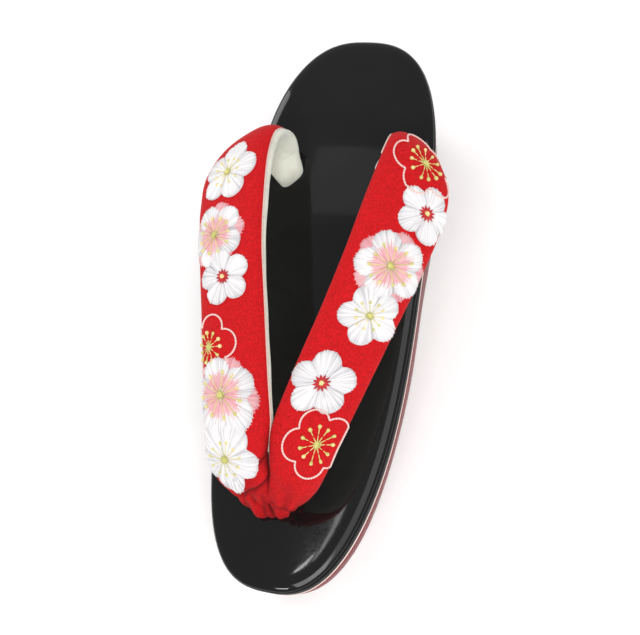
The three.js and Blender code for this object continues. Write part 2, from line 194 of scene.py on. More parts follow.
# Camera first
camera_data = bpy.data.cameras.new("camera")
camera_data.lens = CAMERA_LENS
camera = placed("camera", camera_data)
look = (CAMERA_AIM - CAMERA_AT).normalized()
right = look.cross(CAMERA_UP).normalized()
up = right.cross(look)
camera.matrix_world = Matrix.Translation(CAMERA_AT) @ Matrix((right, up, -look)).transposed().to_4x4()
bpy.context.scene.camera = camera


# Materials
PLAIN_GRAIN = (0.55, 0.0)  # a noise's own roughness and distortion


class Finish:
    """A material built node by node round one Principled shader."""

    def __init__(self, name, **values):
        self.material = bpy.data.materials.new(name)
        self.material.use_nodes = True
        self.tree = self.material.node_tree
        self.shader = self.tree.nodes["Principled BSDF"]
        for key, value in values.items():
            self.shader.inputs[key.replace("_", " ")].default_value = value

    def node(self, kind, **settings):
        made = self.tree.nodes.new(kind)
        for key, value in settings.items():
            if hasattr(made, key):
                setattr(made, key, value)
            else:
                made.inputs[key.replace("_", " ")].default_value = value
        return made

    def link(self, start, end):
        self.tree.links.new(start, end)

    def grains(self, *settings):
        """Noise values on object coordinates, one for each scale, detail, roughness and distortion."""
        where = self.node("ShaderNodeTexCoord").outputs["Object"]
        values = []
        for scale, detail, *more in settings:
            roughness, distortion = more or PLAIN_GRAIN
            made = self.node("ShaderNodeTexNoise", Scale=scale, Detail=detail, Roughness=roughness)
            made.inputs["Distortion"].default_value = distortion
            self.link(where, made.inputs["Vector"])
            values.append(made.outputs["Fac"])
        return values

    def ramp(self, value, stops):
        made = self.node("ShaderNodeValToRGB")
        elements = made.color_ramp.elements
        while len(elements) < len(stops):
            elements.new(0.5)
        for element, (position, colour) in zip(elements, stops):
            element.position = position
            element.color = (*colour, 1)
        self.link(value, made.inputs["Fac"])
        return made.outputs["Color"]

    def colour(self, value, *stops):
        self.link(self.ramp(value, stops), self.shader.inputs["Base Color"])

    def roughness(self, value, low, high):
        """Roughness from low to high over the middle of a grain's range."""
        made = self.node("ShaderNodeMapRange", From_Min=0.3, From_Max=0.7, To_Min=low, To_Max=high)
        self.link(value, made.inputs["Value"])
        self.link(made.outputs["Result"], self.shader.inputs["Roughness"])

    def bump(self, *heights):
        """Chained bumps: each is a value, its depth in metres and its strength."""
        normal = None
        for value, depth, strength in heights:
            made = self.node("ShaderNodeBump", Distance=depth, Strength=strength)
            self.link(value, made.inputs["Height"])
            if normal is not None:
                self.link(normal, made.inputs["Normal"])
            normal = made.outputs["Normal"]
        self.link(normal, self.shader.inputs["Normal"])


def two_grain_finish(name, colour_by, shine_by, dark, light, shine, bumps, stops=(0.3, 0.7), **values):
    """A finish coloured by one grain and roughened by another. A bump names its grain: 0 or 1."""
    f = Finish(name, **values)
    grains = f.grains(colour_by, shine_by)
    f.colour(grains[0], *zip(stops, (dark, light)))
    f.roughness(grains[1], *shine)
    f.bump(*((grains[k], depth, strength) for k, depth, strength in bumps))
    return f.material


def heel_rubber():
    f = Finish("heel_rubber", Roughness=0.7)
    ribs = f.node("ShaderNodeTexWave", wave_type="BANDS", bands_direction="Y", Scale=95)
    f.link(f.node("ShaderNodeTexCoord").outputs["Object"], ribs.inputs["Vector"])
    (fine,) = f.grains((1800, 3))
    f.colour(fine, (0.3, (0.018, 0.014, 0.013)), (0.7, (0.034, 0.028, 0.026)))
    f.roughness(fine, 0.6, 0.82)
    f.bump((ribs.outputs["Fac"], 0.0005, 0.5), (fine, 0.0001, 0.5))
    return f.material


def red_crepe():
    """Crinkled red cloth with painted crease shade: darker where the mesh's fold value says that a crease
    lies.
    """
    f = Finish("red_crepe", Roughness=0.85, Sheen_Weight=0.08, Sheen_Roughness=0.4, Specular_IOR_Level=0.22)
    f.shader.inputs["Sheen Tint"].default_value = (1.0, 0.35, 0.3, 1)
    cells = f.node("ShaderNodeTexVoronoi", Scale=1500)
    f.link(f.node("ShaderNodeTexCoord").outputs["Object"], cells.inputs["Vector"])
    crinkle, broad = f.grains((1300, 4, 0.65, 0.6), (85, 3))
    cloth = f.ramp(crinkle, (
        (0.3, (0.38, 0.002, 0.005)), (0.5, (0.56, 0.0045, 0.008)), (0.7, (0.72, 0.011, 0.014)),
    ))
    # Painted shade: the fold value mixes the cloth towards a deep red in creases and gathers, standing in for
    # the shade that falls there.
    fold = f.node("ShaderNodeAttribute", attribute_name="fold")
    painted_crease_shade = f.node("ShaderNodeMix", data_type="RGBA", blend_type="MIX")
    # The colour sockets of this node: factor 0, first 6, second 7, result 2
    f.link(fold.outputs["Fac"], painted_crease_shade.inputs[0])
    f.link(cloth, painted_crease_shade.inputs[6])
    painted_crease_shade.inputs[7].default_value = (0.1, 0.0008, 0.002, 1)
    f.link(painted_crease_shade.outputs[2], f.shader.inputs["Base Color"])
    f.roughness(crinkle, 0.74, 0.92)
    f.bump((crinkle, 0.00028, 0.55), (cells.outputs["Distance"], 0.0002, 0.35), (broad, 0.0006, 0.25))
    return f.material


def silk_thread(name, *stops):
    """Thread whose colour comes from each point's tone, with a fine twist; in white satin the tone also holds
    painted shade at the petals' sides.
    """
    f = Finish(name, Roughness=0.42, Sheen_Weight=0.2, Sheen_Roughness=0.3)
    tone = f.node("ShaderNodeAttribute", attribute_name="tone")
    (twist,) = f.grains((2600, 2))
    f.colour(tone.outputs["Fac"], *stops)
    f.roughness(twist, 0.34, 0.55)
    f.bump((twist, 0.00006, 0.5))
    return f.material


def floor_paper():
    f = Finish("floor_paper", Roughness=0.9)
    (fine,) = f.grains((240, 3))
    f.colour(fine, (0.3, (0.9, 0.9, 0.9)), (0.7, (0.93, 0.93, 0.93)))
    f.bump((fine, 0.0001, 0.15))
    f.shader.inputs["Emission Color"].default_value = (1, 1, 1, 1)
    f.shader.inputs["Emission Strength"].default_value = FLOOR_GLOW
    return f.material


BLACK_ENAMEL = two_grain_finish(
    "black_enamel", (26, 2), (900, 2), (0.0045, 0.0045, 0.005), (0.0075, 0.0075, 0.008),
    (0.05, 0.12), ((0, 0.0012, 0.12), (1, 0.00002, 0.15)),
    Roughness=0.07, Coat_Weight=0.2, Coat_Roughness=0.03, Specular_IOR_Level=0.25)
# The same black on the rim's outer wall, made dull so that it hardly shines: painted shade standing in for the
# darker floor that the wall would reflect
RIM_ENAMEL_PAINTED_SHADE = two_grain_finish(
    "rim_enamel_painted_shade", (40, 2), (1100, 2), (0.005, 0.005, 0.0055), (0.008, 0.008, 0.0085),
    (0.22, 0.36), ((1, 0.00002, 0.2),), Roughness=0.3, IOR=1.05)
RED_ENAMEL = two_grain_finish(
    "red_enamel", (30, 3), (1400, 2), (0.16, 0.009, 0.014), (0.22, 0.014, 0.02),
    (0.16, 0.3), ((0, 0.001, 0.15), (1, 0.00003, 0.3)), Roughness=0.5, IOR=1.04, stops=(0.25, 0.75))
PALE_TRIM = two_grain_finish(
    "pale_trim", (60, 2), (2200, 3), (0.83, 0.62, 0.56), (0.92, 0.78, 0.71),
    (0.38, 0.55), ((1, 0.00006, 0.5),), Roughness=0.45, Sheen_Weight=0.15, Sheen_Roughness=0.5)
OUTSOLE_SHEET = two_grain_finish(
    "outsole_sheet", (1600, 4, 0.7, 0.0), (22, 3), (0.17, 0.12, 0.08), (0.3, 0.22, 0.15),
    (0.68, 0.9), ((0, 0.00015, 0.6), (1, 0.0006, 0.2)), Roughness=0.8)
CREAM_VELVET = two_grain_finish(
    "cream_velvet", (120, 4, 0.6, 0.8), (3000, 3, 0.7, 0.0),
    (0.68, 0.68, 0.57), (0.83, 0.83, 0.72), (0.88, 1.0), ((1, 0.0004, 0.7), (0, 0.0006, 0.3)),
    Roughness=0.95, Sheen_Weight=0.7, Sheen_Roughness=0.45)
SEAM_CLOTH = two_grain_finish(
    "seam_cloth", (2400, 3), (2400, 3), (0.62, 0.4, 0.36), (0.76, 0.68, 0.58),
    (0.78, 0.95), ((1, 0.0002, 0.6),), Roughness=0.85, Sheen_Weight=0.4)
HEEL_RUBBER = heel_rubber()
RED_CREPE = red_crepe()
WHITE_THREAD = silk_thread(
    "white_thread", (0.0, (0.46, 0.44, 0.46)), (0.45, (0.73, 0.71, 0.73)), (1.0, (0.93, 0.91, 0.91)))
PINK_THREAD = silk_thread(
    "pink_thread", (0.0, (0.62, 0.14, 0.19)), (0.5, (0.76, 0.33, 0.37)), (1.0, (0.84, 0.56, 0.57)))
GOLD_THREAD = silk_thread(
    "gold_thread", (0.0, (0.42, 0.45, 0.1)), (0.5, (0.66, 0.63, 0.2)), (1.0, (0.88, 0.74, 0.34)))
RED_STAR_THREAD = silk_thread("red_star_thread", (0.0, (0.36, 0.004, 0.01)), (1.0, (0.66, 0.01, 0.016)))
CORD_THREAD = silk_thread("cord_thread", (0.2, (0.72, 0.36, 0.34)), (0.9, (0.88, 0.72, 0.66)))


# Meshes
def mesh_piece(name, vertices, faces, material):
    """A named mesh at the origin, from points in millimetres."""
    data = bpy.data.meshes.new(name)
    data.from_pydata([(x * MM, y * MM, z * MM) for x, y, z in vertices], [], faces)
    data.materials.append(material)
    data.validate()
    data.shade_smooth()
    return placed(name, data)


def point_values(data, label, values):
    data.attributes.new(label, "FLOAT", "POINT").data.foreach_set("value", values)


def finish_piece(piece, slot_name, *nodes):
    if nodes:
        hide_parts(*nodes)
    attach(piece, "root")
    return piece


def plain_mesh(piece, name):
    """The evaluated result of a piece as its own mesh, with its modifiers gone."""
    bpy.context.view_layer.update()
    graph = bpy.context.evaluated_depsgraph_get()
    data = bpy.data.meshes.new_from_object(piece.evaluated_get(graph), depsgraph=graph)
    data.name = name
    result = placed(name, data)
    bpy.data.objects.remove(piece, do_unlink=True)
    return result


# Sole
OUTLINE_TOE_STEPS = 56
OUTLINE_SIDE_STEPS = 14
OUTLINE_HEEL_STEPS = 48
TOP_SHRINK = 0.3  # how much less the deck's rings close up in length than in width


def half_outline():
    rows = []

    def add(y, share):
        half = mix(BALL_WIDTH, HEEL_WIDTH, smooth(share_of(y))) / 2
        rows.append((half * share, y))

    def bend(end, i, steps, length, fullness):
        a = math.pi / 2 * i / steps
        back = length * (1 - max(math.cos(a), 0) ** (2 / fullness))
        add(end * (HALF_LENGTH - back), math.sin(a) ** (2 / fullness))

    for i in range(OUTLINE_TOE_STEPS + 1):
        bend(-1, i, OUTLINE_TOE_STEPS, TOE_ROUND, TOE_FULLNESS)
    for i in range(1, OUTLINE_SIDE_STEPS):
        add(mix(TOE_ROUND - HALF_LENGTH, HALF_LENGTH - HEEL_ROUND, i / OUTLINE_SIDE_STEPS), 1)
    for i in range(OUTLINE_HEEL_STEPS, -1, -1):
        bend(1, i, OUTLINE_HEEL_STEPS, HEEL_ROUND, HEEL_FULLNESS)
    return np.array(rows)


HALF_OUTLINE = half_outline()


def outline(inset):
    """The whole outline moved in by inset, toe tip first, up the +X side and down the -X side."""
    half = HALF_OUTLINE
    along = np.zeros_like(half)
    along[1:-1] = half[2:] - half[:-2]
    along[0] = (1, 0)
    along[-1] = (-1, 0)
    along = unit(along)
    side = np.stack([half[:, 0] - along[:, 1] * inset, half[:, 1] + along[:, 0] * inset], 1)
    side[:, 0] = np.maximum(side[:, 0], 0.02)
    side[0, 0] = 0
    side[-1, 0] = 0
    other = side[1:-1][::-1] * (-1, 1)
    return np.concatenate([side, other])


def layer(rings, bottom_height, top_height):
    """Vertices and faces of one closed layer of the sole. A ring is (inset, inward, height at y)."""
    count = 2 * (len(HALF_OUTLINE) - 1)
    half = count // 2
    vertices = []
    faces = []
    for inset, inward, height in rings:
        ring = outline(inset)
        y = ring[:, 1] * (1 - TOP_SHRINK * inward)
        x = ring[:, 0] * (1 - inward)
        z = height(y) * np.ones_like(y)
        vertices.extend(zip(x, y, z))
    for k in range(len(rings) - 1):
        for i in range(count):
            j = (i + 1) % count
            a = k * count
            b = a + count
            faces.append((a + i, a + j, b + j, b + i))

    def close(level, height, upward):
        spine = len(vertices)
        for i in range(1, half):
            y = vertices[level + i][1]
            vertices.append((0.0, y, float(height(y))))

        def place(i):
            return level + i if i in (0, half) else spine + i - 1

        for i in range(half):
            right_now, right_next = level + i, level + i + 1
            left_now, left_next = level + (count - i) % count, level + count - i - 1
            here, ahead = place(i), place(i + 1)
            for quad in ((right_now, right_next, ahead, here), (here, ahead, left_next, left_now)):
                face = list(dict.fromkeys(quad))
                if len(face) > 2:
                    faces.append(tuple(face if upward else reversed(face)))

    close(0, bottom_height, False)
    close((len(rings) - 1) * count, top_height, True)
    return vertices, faces


def through(points, steps):
    """A smooth run of values through the points of a short profile."""
    ends = carried_on(points)
    run = []
    for i in range(len(points) - 1):
        p0, p1, p2, p3 = ends[i : i + 4]
        for k in range(steps):
            t = k / steps
            bend = (2 * p0 - 5 * p1 + 4 * p2 - p3) * t * t + (3 * p1 - p0 - 3 * p2 + p3) * t ** 3
            run.append(0.5 * (2 * p1 + (p2 - p0) * t + bend))
    run.append(ends[-2])
    return np.array(run)


# Share of the deck's thickness, and share of its edge round that the wall lies inside the outline
DECK_RIM = [
    (0, 0.11), (0.08, 0.04), (0.38, 0), (0.64, 0), (0.78, 0.05),
    (0.865, 0.16), (0.93, 0.36), (0.975, 0.63), (1, 1),
]
DECK_RINGS = 16


def make_deck():
    rings = []
    for height, inset in through(DECK_RIM, 3):
        level = min(height, 1.0)
        rings.append((
            DECK_EDGE_ROUND * max(inset, 0), 0,
            lambda y, level=level: deck_base(y) + DECK_THICKNESS * level,
        ))
    for k in range(1, DECK_RINGS):
        inward = k / DECK_RINGS
        crown = 1 - (1 - inward) ** 2
        rings.append((DECK_EDGE_ROUND, inward, lambda y, crown=crown: deck_top(y) + DECK_CROWN * crown))
    vertices, faces = layer(rings, deck_base, lambda y: deck_top(y) + DECK_CROWN)
    piece = mesh_piece("deck_enamel", vertices, faces, BLACK_ENAMEL)
    # The outer wall takes the dull black: painted shade in place of the floor's reflection.
    piece.data.materials.append(RIM_ENAMEL_PAINTED_SHADE)
    for face in piece.data.polygons:
        face.material_index = int(face.normal.z < RIM_PAINTED_SHADE_BELOW)
    return finish_piece(piece, "black_enamel", "deck")


# Share of the body's height, and share of its taper that the wall lies inside the outline
BODY_WALL = [(0, 1), (0.02, 0.78), (0.06, 0.66), (0.4, 0.35), (0.8, 0.08), (1, 0)]


def make_body():
    plateau = TRIM_INSET + TRIM_DEPTH + GAP
    rings = []
    for level, lean in through(BODY_WALL, 3):
        rings.append((
            BODY_INSET + BODY_TAPER * max(lean, 0), 0,
            lambda y, level=level: mix(body_base(y), body_shoulder(y) - BODY_EDGE, min(level, 1)),
        ))
    rings.append((BODY_INSET + 0.25 * BODY_EDGE, 0, lambda y: body_shoulder(y) - 0.35 * BODY_EDGE))
    rings.append((BODY_INSET + 0.75 * BODY_EDGE, 0, body_shoulder))
    rings.append((plateau, 0, body_shoulder))
    rings.append((plateau, 0, lambda y: deck_base(y) - GAP))
    vertices, faces = layer(rings, body_base, lambda y: deck_base(y) - GAP)
    piece = mesh_piece("wedge_body", vertices, faces, RED_ENAMEL)
    return finish_piece(piece, "red_enamel", "platform_body")


def make_outsole():
    rings = [
        (OUTSOLE_INSET + OUTSOLE_EDGE, 0, underside),
        (OUTSOLE_INSET + 0.3 * OUTSOLE_EDGE, 0, lambda y: underside(y) + 0.3 * OUTSOLE_EDGE),
        (OUTSOLE_INSET, 0, lambda y: underside(y) + OUTSOLE_EDGE),
        (OUTSOLE_INSET, 0, lambda y: underside(y) + OUTSOLE_THICKNESS),
    ]
    vertices, faces = layer(rings, underside, lambda y: underside(y) + OUTSOLE_THICKNESS)
    piece = mesh_piece("outsole_layer", vertices, faces, OUTSOLE_SHEET)
    return finish_piece(piece, "outsole_sheet", "outsole")


def dress_heel_piece():
    """The heel piece keeps its solid and gets its rubber."""
    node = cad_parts["heel_piece"]
    for finish in node.material_slots:
        finish.material = HEEL_RUBBER


def socket_value(modifier, label, value):
    """Sets a modifier's named input by its identifier."""
    for item in modifier.node_group.interface.items_tree:
        if item.item_type == "SOCKET" and item.in_out == "INPUT" and item.name == label:
            modifier[item.identifier] = value
            return


PATTERN_NODES = {
    "thick": "InputNamedAttribute", "shade": "SetShadeSmooth", "realize": "RealizeInstances",
    "paint": "SetMaterial",
}
PATTERN_LINKS = "start.Thread > paint.Material, paint.Geometry > end.0"


def pattern_tree(name, inputs, output, nodes, links):
    """A Geometry Nodes tree. A link says node.output > node.input; a number is a socket's place."""
    tree = bpy.data.node_groups.new(name, "GeometryNodeTree")
    for label, kind in (*inputs, ("Thread", "Material")):
        tree.interface.new_socket(label, in_out="INPUT", socket_type="NodeSocket" + kind)
    tree.interface.new_socket(output, in_out="OUTPUT", socket_type="NodeSocketGeometry")
    made = {key: tree.nodes.new("GeometryNode" + kind) for key, kind in {**PATTERN_NODES, **nodes}.items()}
    made["start"] = tree.nodes.new("NodeGroupInput")
    made["end"] = tree.nodes.new("NodeGroupOutput")
    made["thick"].data_type = "FLOAT"
    made["thick"].inputs["Name"].default_value = "thick"
    for link in ", ".join((*links, PATTERN_LINKS)).split(", "):
        sockets = []
        for end, side in zip(link.split(" > "), ("outputs", "inputs")):
            key, label = end.split(".")
            sockets.append(getattr(made[key], side)[int(label) if label.isdigit() else label])
        tree.links.new(*sockets)
    return tree, made


def thread_tree():
    """Runs a round thread along every edge chain; each point's thick scales it."""
    tree, made = pattern_tree(
        "thread_along_lines", (("Lines", "Geometry"), ("Thread radius", "Float"), ("Sides", "Int")), "Threads",
        {"curve": "MeshToCurve", "profile": "CurvePrimitiveCircle", "radius": "SetCurveRadius",
         "mesh": "CurveToMesh"},
        ("start.Lines > curve.Mesh, curve.Curve > radius.Curve, thick.Attribute > radius.Radius",
         "start.Sides > profile.Resolution, start.Thread radius > profile.Radius",
         "radius.Curve > mesh.Curve, profile.Curve > mesh.Profile Curve, mesh.Mesh > shade.0",
         "shade.0 > realize.Geometry, realize.Geometry > paint.Geometry"),
    )
    made["mesh"].inputs["Fill Caps"].default_value = True
    if "Scale" in made["mesh"].inputs:
        tree.links.new(made["thick"].outputs["Attribute"], made["mesh"].inputs["Scale"])
    return tree


def knot_tree():
    """Sets a small round knot on every point; each point's thick scales it."""
    tree, made = pattern_tree(
        "knots_on_points", (("Points", "Geometry"), ("Knot radius", "Float")), "Knots",
        {"ball": "MeshIcoSphere", "put": "InstanceOnPoints"},
        ("start.Points > put.Points, start.Knot radius > ball.Radius, ball.Mesh > put.Instance",
         "thick.Attribute > put.Scale, put.Instances > realize.Geometry",
         "realize.Geometry > shade.0, shade.0 > paint.Geometry"),
    )
    made["ball"].inputs["Subdivisions"].default_value = 2
    return tree


THREAD_TREE = thread_tree()
KNOT_TREE = knot_tree()


THREAD_END = 0.55  # how thick a tapered thread still is at its ends


class Stitching:
    """Lines or single points for one thread, each point with its tone and thickness."""

    def __init__(self):
        self.points = []
        self.edges = []
        self.tone = []
        self.thick = []

    def run(self, points, tone, thick=1.0, closed=False, taper=False):
        if len(points) < 2:
            return
        first = len(self.points)
        last = len(points) - 1
        for k, point in enumerate(points):
            shade = tone[k] if hasattr(tone, "__len__") else tone
            self.dot(point, shade, thick * (THREAD_END if taper and k in (0, last) else 1.0))
        self.edges.extend((first + k, first + k + 1) for k in range(last))
        if closed:
            self.edges.append((first + last, first))

    def dot(self, point, tone, thick=1.0):
        self.points.append(point)
        self.tone.append(tone)
        self.thick.append(thick)

    def make(self, name, tree, material, slot_name, *nodes, **inputs):
        data = bpy.data.meshes.new(name)
        data.from_pydata([(p[0] * MM, p[1] * MM, p[2] * MM) for p in self.points], self.edges, [])
        point_values(data, "tone", self.tone)
        point_values(data, "thick", self.thick)
        lines = placed(name + "_lines", data)
        modifier = lines.modifiers.new("thread", "NODES")
        modifier.node_group = tree
        socket_value(modifier, "Thread", material)
        for label, value in inputs.items():
            socket_value(modifier, label.replace("_", " "), value)
        return finish_piece(plain_mesh(lines, name), slot_name, *nodes)


def make_trim():
    """A round piping bead along the sole's outline, under the deck."""
    ring = outline(TRIM_INSET + TRIM_HEIGHT / 2)
    path = Stitching()
    points = [(x, y, float(trim_middle(y))) for x, y in ring]
    path.run(points, 0.5, closed=True)
    radius = TRIM_HEIGHT / 2 * MM
    path.make("edge_piping", THREAD_TREE, PALE_TRIM, "pale_trim", "edge_trim", Thread_radius=radius, Sides=16)


make_deck()
make_body()
make_outsole()
make_trim()
dress_heel_piece()


# Strap arms
ARM_SAMPLES = 300
COVER_SAMPLES = 49
LINING_SAMPLES = 25
FINE_ROWS = 1200
FRONT_ROUND = 3.2
SEAM_WRAP = 0.06
SECTION_POINTS = 97
# Shares of the half width: as far as a stitch may lie, and where a cord at the seam is held
SEAM_REACH = 0.985
HELD_REACH = 0.93
# Ripples of the cover: measured from, depth, slant, place, width, middle and spread across
RIPPLES = (
    ("front", -0.55, -9, 13, 3.2, 0.5, 0.7), ("front", 0.35, -7, 19, 3.4, 0.4, 0.6),
    ("rear", -0.5, 5, 19.5, 2.2, 0.75, 0.6), ("rear", 0.35, 6, 24.5, 2.8, 0.7, 0.6),
    ("rear", -0.4, -4, 15, 2.0, -0.5, 0.6),
)


def catmull(points, count):
    """The centripetal curve through the points, at count even parameters."""
    padded = carried_on(points)
    samples = []
    for t in np.linspace(0, len(points) - 1, count):
        i = min(int(t), len(points) - 2)
        w = t - i
        p0, p1, p2, p3 = padded[i : i + 4]
        d0, d1, d2 = (max(np.linalg.norm(b - a) ** 0.5, 1e-4) for a, b in ((p0, p1), (p1, p2), (p2, p3)))
        t1 = ((p1 - p0) / d0 - (p2 - p0) / (d0 + d1) + (p2 - p1) / d1) * d1
        t2 = ((p2 - p1) / d1 - (p3 - p1) / (d1 + d2) + (p3 - p2) / d2) * d1
        c2 = -3 * p1 + 3 * p2 - 2 * t1 - t2
        c3 = 2 * p1 - 2 * p2 + t1 + t2
        samples.append(p1 + t1 * w + c2 * w * w + c3 * w ** 3)
    return np.array(samples)


def arm_rows(flare):
    inner, outer, thick = [], [], []
    for near, far, thickness, widen in ARM_ROWS:
        for edge, wide, target in ((near, 0, inner), (far, flare * widen, outer)):
            y = mix(FRONT_SOCKET_Y, REAR_SOCKET_Y, edge[1])
            target.append((STRAP_SPREAD * edge[0] + wide, y, float(deck_top(y)) + STRAP_RISE * edge[2]))
        thick.append(STRAP_THICKNESS * thickness)
    reach = np.array([math.cos(STRAP_END_TURN), -math.sin(STRAP_END_TURN), 0]) * STRAP_END_WIDTH / 2
    seat = np.array([REAR_SOCKET_X, REAR_SOCKET_Y, float(deck_top(REAR_SOCKET_Y))])
    for level in (STRAP_THICKNESS / 3, -STRAP_THICKNESS / 2):
        centre = seat + (0, 0, level)
        inner.append(tuple(centre - reach))
        outer.append(tuple(centre + reach))
        thick.append(STRAP_THICKNESS)
    return inner, outer, thick


def bell(x, centre, width):
    return np.exp(-(((x - centre) / width) ** 2))


class Arm:
    """One padded arm: grids of points for its cover and its lining, from the front to the rear."""

    def __init__(
        self, side, flare, start, lap, drift, swell, lip, turned, fullness, rolled, tail, laps, pleats
    ):
        self.side, self.fullness, self.rolled = side, fullness, rolled
        self.laps, self.pleats = laps, pleats
        inner_rows, outer_rows, thick_rows = arm_rows(flare)
        last = len(inner_rows) - 1
        keep = np.linspace(start / last, 1, ARM_SAMPLES) * (FINE_ROWS - 1)
        fine = np.arange(FINE_ROWS)
        inner, outer = (
            np.stack([np.interp(keep, fine, column) for column in catmull(rows, FINE_ROWS).T], 1)
            for rows in (inner_rows, outer_rows)
        )
        thick = np.interp(keep / (FINE_ROWS - 1) * last, np.arange(last + 1), thick_rows)
        reach = run_along((inner + outer) / 2)[:, None]
        outer = outer + (outer - inner) / STRAP_END_WIDTH * swell * bell(reach, 5, 10)
        centre = (inner + outer) / 2
        across = outer - inner
        half = np.linalg.norm(across, axis=1) / 2
        across /= 2 * half[:, None]
        rise = unit(np.cross(across, unit(np.gradient(centre, axis=0))))
        self.run = run_along(centre)
        self.length = self.run[-1]
        # The front end closes as a soft round
        close = np.sqrt(np.clip(1 - (1 - np.clip(self.run / FRONT_ROUND, 0, 1)) ** 2, 0.0, 1))
        half = half * mix(0.8, 1, close) * mix(1, tail, smooth((self.run - self.length + 20) / 17))
        thick = thick * mix(0.3, 1, close)
        centre = centre + drift * bell(self.run, 75, 50)[:, None] * across
        centre = centre + lap[0] * bell(self.run, 0, lap[1])[:, None] * np.array(lap[2])
        self.centre, self.across, self.rise = centre, across, rise
        self.half, self.thick = half, thick
        near = np.full(ARM_SAMPLES, SEAM_WRAP)
        far = smooth((self.run - self.length + 42) / 16) * turned
        self.lip = sum(width * smooth((self.run - begins) / grows) for begins, grows, width in lip)
        self.cover = self.grid(far, math.pi - near, COVER_SAMPLES)
        self.lining = self.grid(math.pi - near, 2 * math.pi + far, LINING_SAMPLES)
        self.crease_cover()
        self.crease_lining()
        if side < 0:
            self.cover[..., 0] *= -1
            self.lining[..., 0] *= -1
        self.normals = self.cover_normals()
        self.width = np.linalg.norm(np.diff(self.cover, axis=1), axis=2).sum(1) / 2

    def grid(self, first, second, samples):
        """Points of the section between two angles, evenly spaced: a full cover, a flatter lining."""
        points = np.empty((len(self.centre), samples, 3))
        for i in range(len(self.centre)):
            angles = np.linspace(first[i], second[i], SECTION_POINTS)
            c, s = np.cos(angles), np.sin(angles)
            above = s >= 0
            power = np.where(above, 2 / COVER_FULLNESS, 2 / LINING_FULLNESS)
            deep = np.where(above, COVER_SHARE, LINING_SHARE) * self.thick[i]
            flat_x = np.sign(c) * np.abs(c) ** power * self.half[i]
            flat_z = np.sign(s) * np.abs(s) ** power * deep
            run = np.concatenate([[0], np.cumsum(np.hypot(np.diff(flat_x), np.diff(flat_z)))])
            even = np.linspace(0, run[-1], samples)
            px = np.interp(even, run, flat_x)
            pz = np.interp(even, run, flat_z)
            points[i] = self.centre[i] + px[:, None] * self.across[i] + pz[:, None] * self.rise[i]
        return points

    def push(self, part, depth):
        """Moves a grid's points away from the middle of the arm."""
        outward = part - self.centre[:, None, :]
        outward /= np.maximum(np.linalg.norm(outward, axis=2, keepdims=True), 1e-6)
        part += outward * depth[..., None]

    def crease_cover(self):
        """Soft troughs and ridges: the pull at the front, the turn at the rear, and the padding's ripple."""
        count, samples = self.cover.shape[:2]
        q = np.linspace(-1, 1, samples)[None, :]
        run = self.run[:, None]
        rear = self.length - run
        depth = np.zeros((count, samples))
        groove = bell(q, 1.0, 0.2) * smooth((36 - run) / 12)
        # fold is painted shade for the red crepe: how far its colour darkens in the front groove, the troughs
        # and the pleats, where shade falls.
        fold = 0.95 * groove
        for line, (far, near, width, deep) in enumerate(self.laps):
            crossing = mix(near, far, (q + 0.4) / 1.4)
            trough = bell(run - crossing, 0, width) * smooth((q + 0.5 - 0.1 * line) / 0.4)
            depth -= deep * trough
            beyond = bell(run - crossing - 2.6 * width, 0, 1.5 * width)
            depth += 0.55 * deep * beyond * smooth((q + 0.4) / 0.5)
            fold = np.maximum(fold, 0.8 * trough)
        depth += 0.16 * np.sin(run * 0.31 + 2.2 * q) * np.cos(run * 0.083 + 1.3 + q)
        for end, deep, slant, place, width, middle, spread in RIPPLES:
            start = run if end == "front" else rear
            depth += deep * bell(start + slant * q, place, width) * bell(q, middle, spread)
        for place, reach, deep in self.pleats:
            fade = np.clip(1 - run / reach, 0, 1)
            line = place * (0.75 + 0.02 * run)
            valley = fade * bell(q, line, 0.07 + 0.009 * run)
            depth -= deep * valley
            fold = np.maximum(fold, 0.6 * valley)
            depth += 0.5 * deep * fade * bell(q, line + 0.2, 0.12 + 0.012 * run)
        edge = np.abs(q) ** 8
        depth = depth * (1 - edge) + 0.18 * bell(np.abs(q), 0.93, 0.05) - 1.3 * groove
        self.fold = np.clip(fold, 0, 1)
        self.push(self.cover, depth)

    def crease_lining(self):
        """A fuller turned-down end, one crease there, and the lip that shows beyond the inner seam."""
        q = np.linspace(-1, 1, self.lining.shape[1])[None, :]
        run = self.run[:, None]
        rear = self.length - run
        depth = 0.25 * np.sin(run * 0.21 + 1.7 * q + 0.8) * np.cos(run * 0.09 + 2 * q)
        depth += self.fullness * bell(rear, 28, 16) * (1 - q * q)
        depth -= 0.7 * bell(rear - 5 * q, 37, 4) * bell(q, 0.2, 0.7)
        depth = depth * (1 - np.abs(q) ** 6) - 0.12 * np.abs(q) ** 10
        self.push(self.lining, depth)
        proud = self.lip[:, None] * bell(q, -0.84, 0.17) * smooth((q + 1) / 0.1)
        proud = proud * (1 - bell(rear, 0, 14))
        self.lining -= self.across[:, None, :] * proud[..., None]

    def cover_normals(self):
        du = np.gradient(self.cover, axis=0)
        dv = np.gradient(self.cover, axis=1)
        normals = np.cross(dv, du)
        normals /= np.maximum(np.linalg.norm(normals, axis=2, keepdims=True), 1e-9)
        outward = self.cover[:, COVER_SAMPLES // 2] - self.lining[:, LINING_SAMPLES // 2]
        if (normals[:, COVER_SAMPLES // 2] * outward).sum() < 0:
            normals = -normals
        return normals

